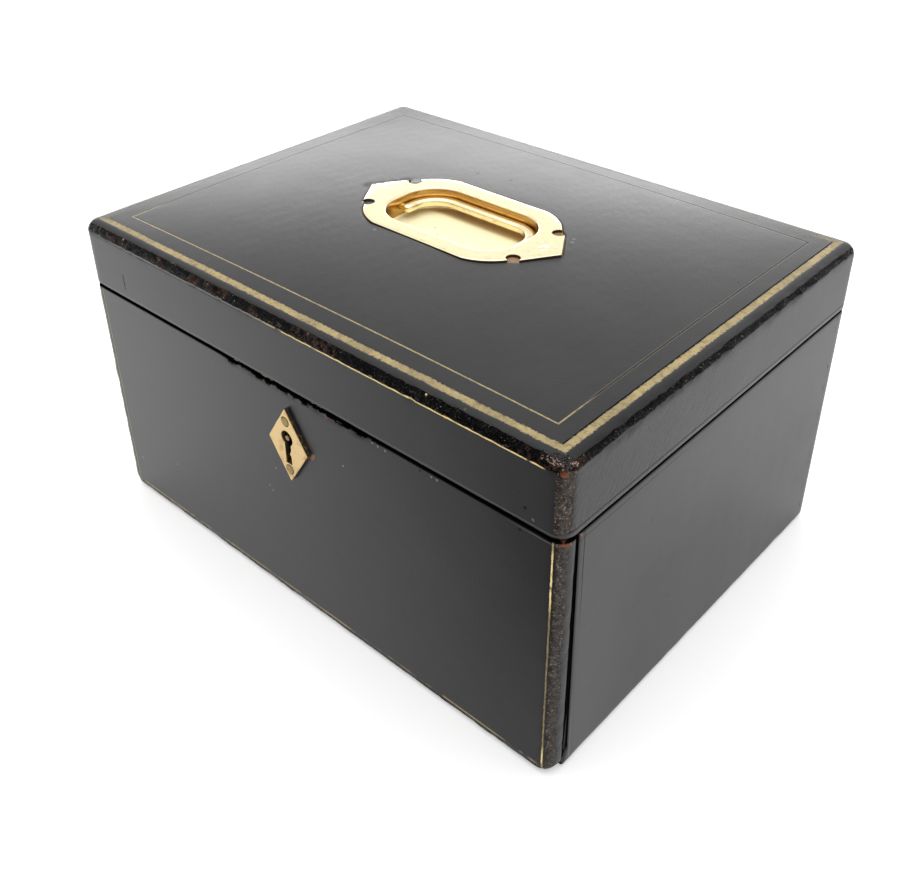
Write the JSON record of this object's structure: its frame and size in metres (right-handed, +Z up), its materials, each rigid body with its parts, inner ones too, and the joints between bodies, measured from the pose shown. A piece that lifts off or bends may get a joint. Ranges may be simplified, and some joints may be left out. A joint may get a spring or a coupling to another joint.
{
  "type": "jewellery box",
  "caption": "Black leather covered jewellery box with a hinged, gently domed lid, a flush brass swing handle, a lock and a falling front that hides pull-out drawers.",
  "frame": {"origin": "middle of the underside, on the surface that the box stands on", "axes": "+X along the front to the right, -Y towards the front, +Z up"},
  "size_m": [0.3, 0.2307, 0.1714],
  "materials": {
    "leather": "smooth black, worn",
    "wood": "plain softwood boards",
    "drawer_wood": "polished mahogany",
    "brass": "polished, aged",
    "steel": "plain",
    "velvet": "cotton velvet",
    "satin": "padded silk satin",
    "baize": "wool baize"
  },
  "bodies": {
    "base": {"case_floor": "wood", "case_left_side": "wood", "case_right_side": "wood", "case_back": "wood", "case_leather": "leather", "base_baize": "baize", "drawer_bed": "wood", "drawer_divider": "drawer_wood", "dust_board": "drawer_wood", "compartment_front": "drawer_wood", "compartment_lining": "velvet", "compartment_partitions": "velvet", "ring_rolls": "velvet", "lid_hinge_lower_leaves": "brass", "lid_hinge_pins": "steel", "flap_hinge_fixed_leaves": "brass", "flap_hinge_pins": "steel"},
    "lid": {"lid_top_board": "wood", "lid_frame": "wood", "lid_leather": "leather", "lid_side_lining": "velvet", "lid_pad": "satin", "lid_hinge_upper_leaves": "brass", "lock_striker_plate": "brass", "handle_plate": "brass", "handle_rivets": "brass"},
    "handle": {"handle_bail": "brass"},
    "flap": {"flap_board": "wood", "flap_leather": "leather", "flap_lining": "satin", "flap_hinge_moving_leaves": "brass", "escutcheon": "brass", "escutcheon_pins": "brass", "lock_case": "brass", "lock_cover": "brass", "lock_selvedge": "brass", "lock_drill_pin": "brass"},
    "claw_left": {"lock_claw_left": "steel"},
    "claw_right": {"lock_claw_right": "steel"},
    "drawer_lower": {"drawer_lower_front": "drawer_wood", "drawer_lower_left_side": "drawer_wood", "drawer_lower_right_side": "drawer_wood", "drawer_lower_back": "drawer_wood", "drawer_lower_bottom": "drawer_wood", "drawer_lower_lining": "velvet", "drawer_lower_knob": "brass"},
    "drawer_upper": {"drawer_upper_front": "drawer_wood", "drawer_upper_left_side": "drawer_wood", "drawer_upper_right_side": "drawer_wood", "drawer_upper_back": "drawer_wood", "drawer_upper_bottom": "drawer_wood", "drawer_upper_lining": "velvet", "drawer_upper_knob": "brass"}
  },
  "joints": [
    {"name": "lid_hinge", "type": "hinge", "parent": "base", "child": "lid", "pos_m": [0, 0.1114, 0.1295], "axis": [-1, 0, 0], "range_deg": [0, 95]},
    {"name": "flap_hinge", "type": "hinge", "parent": "base", "child": "flap", "pos_m": [0, -0.10985, 0.00445], "axis": [1, 0, 0], "range_deg": [0, 88]},
    {"name": "handle_swing", "type": "hinge", "parent": "lid", "child": "handle", "pos_m": [0, 0, 0.1653], "axis": [1, 0, 0], "range_deg": [0, 90]},
    {"name": "claw_right_swing", "type": "hinge", "parent": "flap", "child": "claw_right", "pos_m": [0.0155, -0.10935, 0.1205], "axis": [0, 1, 0], "range_deg": [0, 72]},
    {"name": "claw_left_swing", "type": "hinge", "parent": "flap", "child": "claw_left", "pos_m": [-0.0155, -0.10935, 0.1205], "axis": [0, 1, 0], "range_deg": [-72, 0]},
    {"name": "drawer_lower_slide", "type": "slide", "parent": "base", "child": "drawer_lower", "axis": [0, -1, 0], "range_m": [0, 0.17]},
    {"name": "drawer_upper_slide", "type": "slide", "parent": "base", "child": "drawer_upper", "axis": [0, -1, 0], "range_m": [0, 0.17]}
  ],
  "couplings": [
    {"joint": "claw_left_swing", "follows": "claw_right_swing", "ratio": -1},
    {"joint": "drawer_lower_slide", "follows": "flap_hinge", "m_per_rad": 0.015},
    {"joint": "drawer_upper_slide", "follows": "flap_hinge", "m_per_rad": 0.055}
  ]
}
